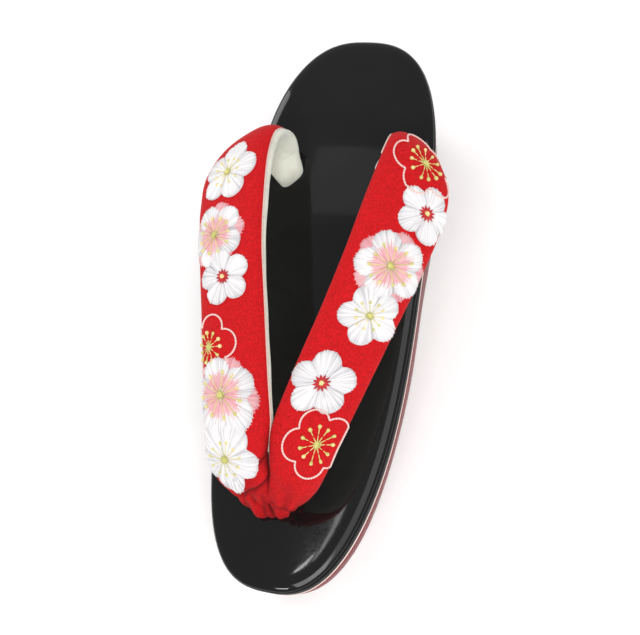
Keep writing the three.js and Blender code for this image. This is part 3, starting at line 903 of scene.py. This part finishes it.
    def at(self, run, across, lift, held=False):
        """Point on the cover at a run from the front and a way across from the middle; past a seam it is
        None, or held at the seam."""
        i = np.interp(run, self.run, np.arange(len(self.run)))
        width = np.interp(i, np.arange(len(self.width)), self.width)
        q = across / width
        if held:
            q = min(max(q, -HELD_REACH), HELD_REACH)
        if abs(q) > SEAM_REACH or run < 0.5 or run > self.length - 1:
            return None
        k = (q + 1) / 2 * (COVER_SAMPLES - 1)
        i0, k0 = min(int(i), len(self.run) - 2), min(int(k), COVER_SAMPLES - 2)
        a, b = i - i0, k - k0
        corners = (
            (i0, k0, (1 - a) * (1 - b)), (i0 + 1, k0, a * (1 - b)),
            (i0, k0 + 1, (1 - a) * b), (i0 + 1, k0 + 1, a * b),
        )
        point = sum(self.cover[x, y] * w for x, y, w in corners)
        normal = sum(self.normals[x, y] * w for x, y, w in corners)
        return point + normal * lift


INNER_ARM = Arm(
    side=1, flare=0, start=0.3, lap=(1.0, 10, (-0.9, -0.5, 0.6)), drift=0, swell=0.6,
    lip=((150, 14, 0.8),), turned=0.1, fullness=0.8, rolled=146, tail=1.0,
    laps=((9, 4, 1.0, 0.9),),
    pleats=((-0.5, 16, 1.0), (0.05, 24, 1.3), (0.5, 19, 1.2), (0.8, 14, 0.8)),
)
OUTER_ARM = Arm(
    side=-1, flare=OUTER_ARM_FLARE, start=0.75, lap=(0.6, 8, (0.3, 0.6, -0.5)), drift=-1.2, swell=1.8,
    lip=((8, 24, 0.8), (95, 50, 1.2)), turned=0.5, fullness=3.0, rolled=24, tail=0.6,
    laps=((15, 4.5, 1.2, 1.5), (24, 12, 1.5, 0.7)),
    pleats=((-0.65, 14, 1.0), (-0.2, 20, 1.4), (0.3, 24, 1.6), (0.66, 18, 1.3)),
)
ARMS = {"inner": INNER_ARM, "outer": OUTER_ARM}


def grid_faces(offset, rows, columns, flip):
    faces = []
    for i in range(rows - 1):
        for k in range(columns - 1):
            a = offset + i * columns + k
            quad = (a, a + 1, a + columns + 1, a + columns)
            faces.append(quad[::-1] if flip else quad)
    return faces


def end_fan(ring, centre_index, flip):
    return [
        (ring[k + 1], ring[k], centre_index) if flip else (ring[k], ring[k + 1], centre_index)
        for k in range(len(ring) - 1)
    ]


def make_skin(name, part, material, slot_name):
    """Both arms' covers, or both linings, as one padded piece, each arm closed at both ends by a fan of faces.
    """
    vertices, faces, shades = [], [], []
    for arm in ARMS.values():
        points = getattr(arm, part)
        # Painted crease shade: the covers carry their fold values, the linings none.
        shades.extend((arm.fold if part == "cover" else np.zeros(points.shape[:2])).reshape(-1))
        rows, columns = points.shape[:2]
        offset = len(vertices)
        vertices.extend(map(tuple, points.reshape(-1, 3)))
        flip = arm.side > 0
        faces.extend(grid_faces(offset, rows, columns, flip))
        for row, turned in ((0, flip), (rows - 1, not flip)):
            ring = [offset + row * columns + k for k in range(columns)]
            middle = arm.centre[row] * (arm.side, 1, 1)
            vertices.append(tuple(middle))
            shades.append(0.0)
            faces.extend(end_fan(ring, len(vertices) - 1, turned))
    piece = mesh_piece(name, vertices, faces, material)
    point_values(piece.data, "fold", shades)
    return finish_piece(piece, slot_name, "hanao_strap")


make_skin("strap_cover", "cover", RED_CREPE, "red_crepe")
make_skin("strap_lining", "lining", CREAM_VELVET, "cream_velvet")


def make_seam_rolls():
    """The rolled edge where the lining meets the cover, along each inner seam."""
    rolls = Stitching()
    for arm in ARMS.values():
        first = int(np.searchsorted(arm.run, arm.rolled))
        points = arm.cover[first:-2, -1] + arm.normals[first:-2, -1] * 0.1
        rolls.run([tuple(point) for point in points], 0.5, taper=True)
    rolls.make("seam_rolls", THREAD_TREE, SEAM_CLOTH, "cream_velvet", Thread_radius=0.42 * MM, Sides=8)


make_seam_rolls()


# Toe loop: height share, plan size, lean, from the deck upwards
LOOP_ROWS = [
    (-0.1, 0.84, 0), (0.07, 0.95, 0.02), (0.22, 1, 0.1), (0.38, 0.98, 0.26),
    (0.55, 0.92, 0.46), (0.72, 0.82, 0.64), (0.88, 0.6, 0.84), (1, 0.16, 1),
]
LOOP_ROUND = 144
# Gathers round the loop: depth, how many, and where they start; one deeper pleat faces the front
LOOP_GATHERS = ((0.75, 7, 0.8), (0.45, 11, 2.0), (0.25, 17, 0))
LOOP_PLEAT_AT = 4.98


def make_loop():
    rows = through(LOOP_ROWS, 6)
    vertices, faces, shades = [], [], []
    for height, size, lean in rows:
        for k in range(LOOP_ROUND):
            a = 2 * math.pi * k / LOOP_ROUND
            fold = sum(deep * math.cos(waves * a + shift) for deep, waves, shift in LOOP_GATHERS)
            fold *= 0.35 + 0.9 * max(0.0, min(1.0, height)) ** 0.5
            fold -= 1.6 * math.exp(-(((a - LOOP_PLEAT_AT) / 0.1) ** 2)) * (0.4 + height)
            wide = 1 + LOOP_SPREAD * (1 - math.cos(a)) * max(0, min(1, height)) ** 0.5
            x = (LOOP_WIDTH / 2 * size + fold) * math.cos(a) * wide - LOOP_OFFSET
            y = (LOOP_LENGTH / 2 * size + fold) * math.sin(a)
            y += FRONT_SOCKET_Y - LOOP_LEAN / 2 + LOOP_LEAN * lean
            z = float(deck_top(FRONT_SOCKET_Y)) + LOOP_HEIGHT * height
            vertices.append((x, y, z))
            # Painted shade: the loop's colour darkens where its gathers turn inward.
            shades.append(min(max(-0.75 * fold - 0.1, 0), 1))
    for i in range(len(rows) - 1):
        for k in range(LOOP_ROUND):
            a, b = i * LOOP_ROUND + k, i * LOOP_ROUND + (k + 1) % LOOP_ROUND
            faces.append((a, b, b + LOOP_ROUND, a + LOOP_ROUND))
    last = (len(rows) - 1) * LOOP_ROUND
    faces.append(tuple(range(last, last + LOOP_ROUND)))
    faces.append(tuple(range(LOOP_ROUND - 1, -1, -1)))
    piece = mesh_piece("gathered_toe_loop", vertices, faces, RED_CREPE)
    point_values(piece.data, "fold", shades)
    return finish_piece(piece, "red_crepe", "toe_loop")


make_loop()

# Embroidered plum blossoms: arm, run from the front, way across (+ to the inner edge), radius, kind, turn
BLOSSOMS = [
    ("outer", 134.2, 0.8, 13.0, "golden", 84),
    ("outer", 107.9, -3.8, 14.2, "double", 50),
    ("outer", 89.3, 0.0, 11.8, "starred", 64),
    ("outer", 62.6, -8.8, 13.2, "corded", 86),
    ("outer", 43.4, -3.6, 15.5, "double", 62),
    ("outer", 22.2, -3.1, 13.2, "golden", 101),
    ("inner", 148.8, -2.3, 14.2, "corded", 95),
    ("inner", 129.6, -8.0, 12.2, "starred", 60),
    ("inner", 104.6, -2.6, 14.6, "double", 31),
    ("inner", 84.2, -3.4, 12.0, "golden", 106),
    ("inner", 55.3, 2.0, 12.6, "starred", 9),
    ("inner", 34.8, -5.6, 12.5, "corded", 102),
]
PETALS = 5
PETAL_STEP = 2 * math.pi / PETALS
PETAL_CENTRE = 0.58
PETAL_LOBE = 0.42
SATIN_SPACING = 0.4
SATIN_RADIUS = 0.23
FINE_RADIUS = 0.15
STAR_RADIUS = 1.3 * FINE_RADIUS
CORD_RADIUS = 0.36
KNOT_RADIUS = 0.54
PAD_TONE = 0.35
PAD_SPOKES = 90
CORD_POINTS = 260
STAMENS = 11
EYE_STITCHES = 22
EYE_KNOTS = 6
STAR_STITCHES = 60
PINK_SHADING = 104


def petal_reach(angle):
    """Share of the radius that a five-petalled blossom has at an angle from a petal's middle."""
    off = (angle + PETAL_STEP / 2) % PETAL_STEP - PETAL_STEP / 2
    sideways = PETAL_CENTRE * math.sin(off)
    return PETAL_CENTRE * math.cos(off) + math.sqrt(PETAL_LOBE ** 2 - sideways ** 2)


WHITE_STITCHES = Stitching()
PINK_STITCHES = Stitching()
GOLD_STITCHES = Stitching()
GOLD_KNOTS = Stitching()
RED_STITCHES = Stitching()
CORD_LINES = Stitching()
WHITE_GROUND = ([], [])
PINK_GROUND = ([], [])
DRAW = random.Random(11)


class Blossom:
    def __init__(self, arm, run, across, radius, turn, raised):
        self.arm, self.run, self.across, self.radius = ARMS[arm], run, across, radius
        self.turn = math.radians(turn)
        self.raised = raised

    def spot(self, angle, share, lift):
        reach = share * self.radius
        return self.arm.at(
            self.run + reach * math.cos(angle), self.across + reach * math.sin(angle), lift + self.raised
        )

    def stitch(self, thread, angle, start, end, tone, lift, arch=0.22, steps=6, thick=1.0):
        """One stitch out from the middle, sunk into the cloth at both ends; it stops at the seam."""
        points = []
        for k in range(steps + 1):
            t = k / steps
            height = lift + arch * math.sin(math.pi * t) ** 0.6 - 0.12
            point = self.spot(angle, mix(start, end, t), height)
            if point is None:
                break
            points.append(point)
        thread.run(points, tone, thick, taper=True)

    def satin(self, thread, turn, start, size, lift, tone=(0.25, 1.0)):
        """A ring of satin petals whose stitches fan out from the middle."""
        count = max(12, round(PETAL_STEP * self.radius * 0.8 * size / SATIN_SPACING))
        for petal in range(PETALS):
            middle = turn + PETAL_STEP * petal
            grey = DRAW.uniform(-0.1, 0.1)
            for k in range(count):
                off = PETAL_STEP * ((k + 0.5) / count - 0.5)
                reach = petal_reach(off) * size * DRAW.uniform(0.94, 1.0)
                from_middle = start * DRAW.uniform(0.8, 1.3)
                if k % 2:
                    from_middle = max(from_middle, DRAW.uniform(0.28, 0.44))
                shade = mix(*tone, DRAW.random() ** 0.6) + grey
                # Painted shade: stitches darken towards a petal's sides, where the petals meet.
                shade -= 0.35 * abs(off / PETAL_STEP * 2) ** 5
                shade = min(max(shade, 0), 1)
                height = lift + 0.05 * (k % 3)
                self.stitch(thread, middle + off * 0.975, from_middle, reach, shade, height, steps=7)

    def ground(self, store, turn, size, lift):
        """The padding under a blossom's stitches: a closed low pad cut off at the seam."""
        vertices, faces = store
        first = len(vertices)
        spokes = PAD_SPOKES
        rings = ((1.0, -0.02), (0.93, 0.16), (0.75, 0.26), (0.45, 0.28), (0.2, 0.22))
        reach = []
        for k in range(spokes):
            angle = 2 * math.pi * k / spokes
            share = petal_reach(angle - turn) * size * 0.97
            while self.spot(angle, share, 0) is None:
                share -= 0.015
            reach.append(share)
        for inward, height in rings + ((1.0, -0.4),):
            for k in range(spokes):
                vertices.append(self.spot(2 * math.pi * k / spokes, reach[k] * inward, lift + height))
        top = len(vertices)
        vertices.append(self.spot(0, 0, lift + 0.22))
        vertices.append(self.spot(0, 0, lift - 0.4))
        under = first + len(rings) * spokes
        flip = self.arm.side > 0
        for k in range(spokes):
            j = (k + 1) % spokes
            starts = range(first, under - spokes, spokes)
            band = [(a + k, a + j, a + spokes + j, a + spokes + k) for a in starts]
            inner = under - spokes
            band.append((inner + k, inner + j, top))
            band.append((first + j, first + k, under + k, under + j))
            band.append((under + j, under + k, top + 1))
            faces.extend(face[::-1] if flip else face for face in band)

    def stamens(self, ends, lift, thick=1.0, dashed=False):
        for k in range(STAMENS):
            angle = self.turn + 0.2 + 2 * math.pi * (k + DRAW.uniform(-0.12, 0.12)) / STAMENS
            end = ends * DRAW.uniform(0.9, 1.1)
            tone = DRAW.uniform(0.45, 1.0)
            pieces = ((0.1, 0.5), (0.56, 0.93)) if dashed else ((0.1, 0.93),)
            for near, far in pieces:
                self.stitch(
                    GOLD_STITCHES, angle, near * ends, far * end, tone, lift, 0.25, steps=4, thick=thick
                )
            knot = self.spot(angle, end, lift + 0.2)
            if knot is not None:
                GOLD_KNOTS.dot(knot, tone, DRAW.uniform(0.85, 1.2) * thick)
                beside = self.spot(angle, end * 0.92, lift + 0.14)
                if beside is not None:
                    GOLD_KNOTS.dot(beside, tone * 0.7, 0.75 * thick)

    def eye(self, size, lift, tone=(0.0, 0.6)):
        """The small stitched middle, a star of short stitches with a few knots."""
        for k in range(EYE_STITCHES):
            angle = 2 * math.pi * k / EYE_STITCHES
            end = size * DRAW.uniform(0.75, 1.2)
            self.stitch(GOLD_STITCHES, angle, 0.0, end, mix(*tone, DRAW.random()), lift + 0.1, 0.3, steps=3)
        for k in range(EYE_KNOTS + 1):
            angle = 2 * math.pi * k / EYE_KNOTS
            share = size * 0.42 if k < EYE_KNOTS else 0
            GOLD_KNOTS.dot(self.spot(angle, share, lift + 0.32), mix(*tone, DRAW.random()) + 0.15, 0.85)

    def cord(self):
        """A raised cord sewn round the outline of the petals, in lengths between the seams."""
        start = 0
        while start < CORD_POINTS and self.cord_point(start) is not None:
            start += 1
        if start == CORD_POINTS:
            ring = range(CORD_POINTS)
            CORD_LINES.run([self.cord_point(k) for k in ring], [self.cord_tone(k) for k in ring], closed=True)
            return
        points, tones = [], []
        for k in range(start, start + CORD_POINTS + 1):
            point = self.cord_point(k % CORD_POINTS)
            if point is not None:
                points.append(point)
                tones.append(self.cord_tone(k))
            elif points:
                CORD_LINES.run(points, tones, taper=True)
                points, tones = [], []

    def cord_point(self, k):
        angle = 2 * math.pi * k / CORD_POINTS
        reach = petal_reach(angle - self.turn) * 0.975 * self.radius
        run = self.run + reach * math.cos(angle)
        across = self.across + reach * math.sin(angle)
        lift = 0.22 + 0.05 * math.sin(k * 1.9) + heaped(self.arm, run, across)
        return self.arm.at(run, across, lift, held=True)

    def cord_tone(self, k):
        return 0.62 + 0.3 * math.sin(k * 1.9)


def heaped(arm, run, across):
    """How high white satin already stands at a place that a cord crosses."""
    for name, middle, beside, radius, kind, turn in BLOSSOMS:
        if ARMS[name] is arm and kind in ("golden", "starred"):
            far = math.hypot(run - middle, across - beside) / radius
            angle = math.atan2(across - beside, run - middle) - math.radians(turn)
            if far < petal_reach(angle) * 1.02:
                return 0.75
    return 0.0


def embroider(kind, blossom):
    turn = blossom.turn
    if kind == "double":
        blossom.ground(PINK_GROUND, turn + PETAL_STEP / 2, 1.0, -0.05)
        blossom.satin(PINK_STITCHES, turn + PETAL_STEP / 2, 0.5, 1.0, 0.1, (0.35, 0.95))
        blossom.ground(WHITE_GROUND, turn, 0.97, 0.25)
        blossom.satin(WHITE_STITCHES, turn, 0.3, 0.98, 0.5)
        for k in range(2 * PINK_SHADING):
            angle = math.pi * k / PINK_SHADING
            end = 0.63 + 0.05 * math.cos(5 * (angle - turn)) + DRAW.uniform(-0.16, 0.1)
            start = DRAW.uniform(0.08, 0.26)
            tone = min(1.0, DRAW.uniform(0.2, 0.95) + 0.25 * (k % 2))
            blossom.stitch(PINK_STITCHES, angle, start, end, tone, 0.7, 0.14, steps=5, thick=0.8)
        blossom.stamens(0.53, 0.86, 1.15)
        blossom.eye(0.11, 0.84)
    elif kind == "golden":
        blossom.ground(WHITE_GROUND, turn, 1.0, 0.05)
        blossom.satin(WHITE_STITCHES, turn, 0.12, 1.0, 0.3)
        blossom.stamens(0.44, 0.55, 0.95)
        blossom.eye(0.12, 0.5)
    elif kind == "starred":
        blossom.ground(WHITE_GROUND, turn, 1.0, 0.05)
        blossom.satin(WHITE_STITCHES, turn, 0.22, 1.0, 0.3)
        for k in range(STAR_STITCHES):
            angle = 2 * math.pi * k / STAR_STITCHES
            point = 0.5 + 0.5 * math.cos(12 * angle)
            end = 0.17 + 0.11 * point ** 1.5
            blossom.stitch(RED_STITCHES, angle, 0.03, end, DRAW.random(), 0.5, 0.14, steps=4)
        blossom.eye(0.08, 0.62, (0.6, 1.0))
    else:
        blossom.cord()
        blossom.stamens(0.47, 0.1, 1.3, dashed=True)
        blossom.eye(0.12, 0.1)


# The double and the corded blossoms lie under their neighbours
LAYERS = {"corded": 0.0, "double": 0.0, "golden": 0.35, "starred": 0.35}
for arm, run, across, radius, kind, turn in BLOSSOMS:
    embroider(kind, Blossom(arm, run, across, radius, turn, LAYERS[kind]))

for name, stitches, material, slot_name, radius, sides in (
    ("blossom_white_satin", WHITE_STITCHES, WHITE_THREAD, "white_thread", SATIN_RADIUS, 5),
    ("blossom_pink_satin", PINK_STITCHES, PINK_THREAD, "pink_thread", SATIN_RADIUS, 5),
    ("stamen_threads", GOLD_STITCHES, GOLD_THREAD, "gold_thread", FINE_RADIUS, 5),
    ("star_red_threads", RED_STITCHES, RED_STAR_THREAD, "red_crepe", STAR_RADIUS, 5),
    ("petal_outline_cord", CORD_LINES, CORD_THREAD, "white_thread", CORD_RADIUS, 8),
):
    stitches.make(name, THREAD_TREE, material, slot_name, Thread_radius=radius * MM, Sides=sides)
GOLD_KNOTS.make("stamen_knots", KNOT_TREE, GOLD_THREAD, "gold_thread", Knot_radius=KNOT_RADIUS * MM)
for name, store, material, slot_name in (
    ("white_petal_pads", WHITE_GROUND, WHITE_THREAD, "white_thread"),
    ("pink_petal_pads", PINK_GROUND, PINK_THREAD, "pink_thread"),
):
    pad = mesh_piece(name, *store, material)
    point_values(pad.data, "tone", [PAD_TONE] * len(store[0]))
    finish_piece(pad, slot_name)


# Fixed floor and light
FLOOR_REACH = 4000
corners = [(x * FLOOR_REACH, y * FLOOR_REACH, 0) for x, y in ((-1, -1), (1, -1), (1, 1), (-1, 1))]
floor = mesh_piece("floor", corners, [(0, 1, 2, 3)], floor_paper())


def soft_light(name, at, aim, size, power):
    data = bpy.data.lights.new(name, "AREA")
    data.shape = "RECTANGLE"
    data.size, data.size_y = size
    data.energy = power
    lamp = placed(name, data)
    lamp.location = at
    lamp.rotation_euler = (Vector(aim) - Vector(at)).to_track_quat("-Z", "Y").to_euler()
    return lamp


soft_light("key_box", (0.6, -0.78, 1.45), (0, 0, 0.03), (0.9, 0.9), 13)
soft_light("left_box", (-1.35, 0.75, 0.85), (0, 0, 0.03), (0.9, 0.9), 9)
soft_light("toe_lamp", (-0.12, -1.15, 1.25), (0, -0.05, 0.03), (0.34, 0.16), 4)
strip = soft_light("rim_strip", (0.85, 0.0, 1.4), (0, 0, 0), (0.9, 1.5), 6.5)
strip.rotation_euler = (0, math.radians(28), 0)
# Low lamps that face straight down, each seen only as a pale patch in the deck: turn in degrees
for name, at, turn, shape, size, power in (
    ("heel_panel", (-0.142, 0.158, 0.6), 0, "RECTANGLE", (0.125, 0.15), 0.026),
    ("toe_glint", (-0.085, -0.022, 0.6), 50, "ELLIPSE", (0.048, 0.018), 0.036),
    ("side_gleam", (-0.036, 0.05, 0.6), 77, "ELLIPSE", (0.15, 0.028), 0.062),
):
    panel = soft_light(name, at, (0, 0, 0), size, power)
    panel.data.shape = shape
    panel.rotation_euler = (0, 0, math.radians(turn))

world = bpy.data.worlds.new("studio")
world.use_nodes = True
background = world.node_tree.nodes["Background"]
background.inputs["Color"].default_value = (1, 1, 1, 1)
background.inputs["Strength"].default_value = 0.42
bpy.context.scene.world = world
bpy.context.scene.view_settings.view_transform = "Standard"
